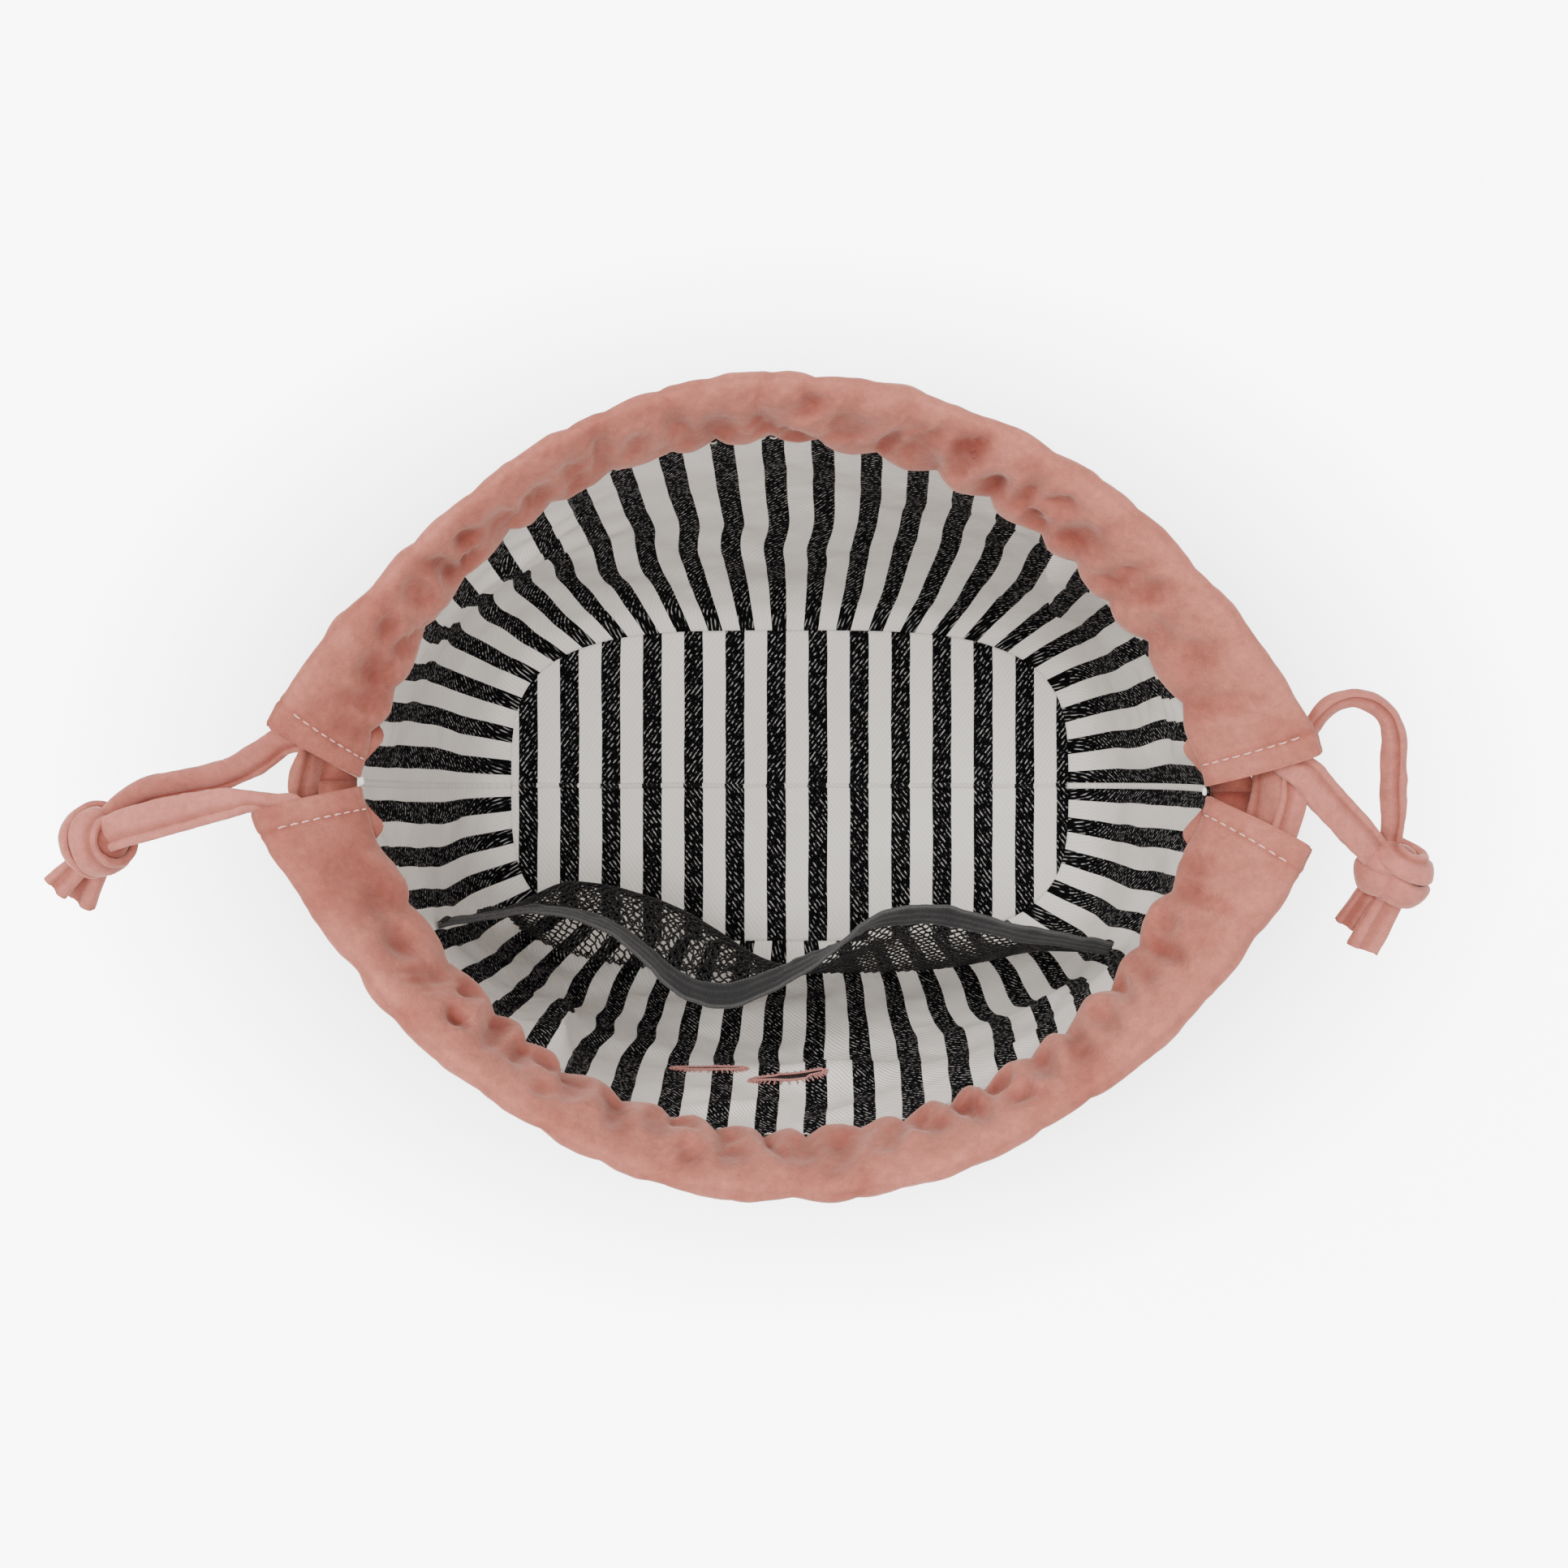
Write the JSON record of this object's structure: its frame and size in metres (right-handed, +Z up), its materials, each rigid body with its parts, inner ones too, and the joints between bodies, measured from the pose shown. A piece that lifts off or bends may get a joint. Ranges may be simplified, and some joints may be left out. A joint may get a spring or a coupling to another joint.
{
  "type": "drawstring pouch",
  "caption": "Open suede drawstring pouch with striped twill lining, gathered channel, two knotted drawcords and a mesh pocket with an elastic edge.",
  "frame": {"origin": "centre of the base's underside", "axes": "+X to the right side seam, +Y to the back wall, +Z up out of the mouth"},
  "size_m": [0.3893, 0.2191, 0.2212],
  "materials": {
    "suede": "matte brushed nap",
    "suede_cord": "matte brushed nap",
    "striped_twill": "matte woven twill, ecru and black stripes",
    "ecru_thread": "matte thread",
    "pink_thread": "satin thread",
    "black_net": "satin knitted net",
    "black_elastic": "matte ribbed elastic"
  },
  "bodies": {
    "bag": {"outer_front_panel": "suede", "outer_back_panel": "suede", "outer_side_seam_left": "suede", "outer_side_seam_right": "suede", "outer_bottom_seam": "suede", "outer_corner_seams": "suede", "lining_front_panel": "striped_twill", "lining_back_panel": "striped_twill", "lining_side_seam_left": "striped_twill", "lining_side_seam_right": "striped_twill", "lining_bottom_seam": "striped_twill", "lining_corner_seams": "striped_twill", "lining_topstitch_front": "ecru_thread", "lining_topstitch_back": "ecru_thread", "left_drawcord_run": "suede_cord", "right_drawcord_run": "suede_cord", "cable_slit_stitching_upper": "pink_thread", "cable_slit_stitching_lower": "pink_thread"},
    "front_rim": {"front_casing": "suede", "front_casing_hem_stitches": "pink_thread"},
    "back_rim": {"back_casing": "suede", "back_casing_hem_stitches": "pink_thread"},
    "left_loop": {"left_drawcord_loop": "suede_cord"},
    "left_pull": {"left_knot": "suede_cord", "left_cord_ends": "suede_cord"},
    "right_loop": {"right_drawcord_loop": "suede_cord"},
    "right_pull": {"right_knot": "suede_cord", "right_cord_ends": "suede_cord"},
    "pocket": {"pocket_mesh": "black_net", "pocket_elastic": "black_elastic", "pocket_elastic_tacks": "black_elastic"}
  },
  "joints": [
    {"name": "left_loop_swing", "type": "hinge", "parent": "bag", "child": "left_loop", "pos_m": [-0.141, 0, 0.203], "axis": [0, 1, 0], "range_deg": [-60, 35]},
    {"name": "left_cord_pull", "type": "slide", "parent": "left_loop", "child": "left_pull", "axis": [-1, 0, 0], "range_m": [0, 0.07], "deforming": ["left_drawcord_loop"]},
    {"name": "right_loop_swing", "type": "hinge", "parent": "bag", "child": "right_loop", "pos_m": [0.14, 0, 0.203], "axis": [0, -1, 0], "range_deg": [-60, 35]},
    {"name": "right_cord_pull", "type": "slide", "parent": "right_loop", "child": "right_pull", "axis": [1, 0, 0], "range_m": [0, 0.07], "deforming": ["right_drawcord_loop"]},
    {"name": "front_rim_close", "type": "slide", "parent": "bag", "child": "front_rim", "axis": [0, 0.9333, -0.359], "range_m": [0, 0.0975], "deforming": ["front_casing", "front_casing_hem_stitches"]},
    {"name": "back_rim_close", "type": "slide", "parent": "bag", "child": "back_rim", "axis": [0, -0.9333, -0.359], "range_m": [0, 0.0975], "deforming": ["back_casing", "back_casing_hem_stitches"]},
    {"name": "pocket_stretch", "type": "slide", "parent": "bag", "child": "pocket", "axis": [0, 1, 0], "range_m": [0, 0.03], "stiffness_N_per_m": 4, "deforming": ["pocket_mesh", "pocket_elastic"]}
  ],
  "couplings": [
    {"joint": "right_cord_pull", "follows": "left_cord_pull", "ratio": 1},
    {"joint": "front_rim_close", "follows": "left_cord_pull", "ratio": 1.3928},
    {"joint": "back_rim_close", "follows": "left_cord_pull", "ratio": 1.3928}
  ]
}
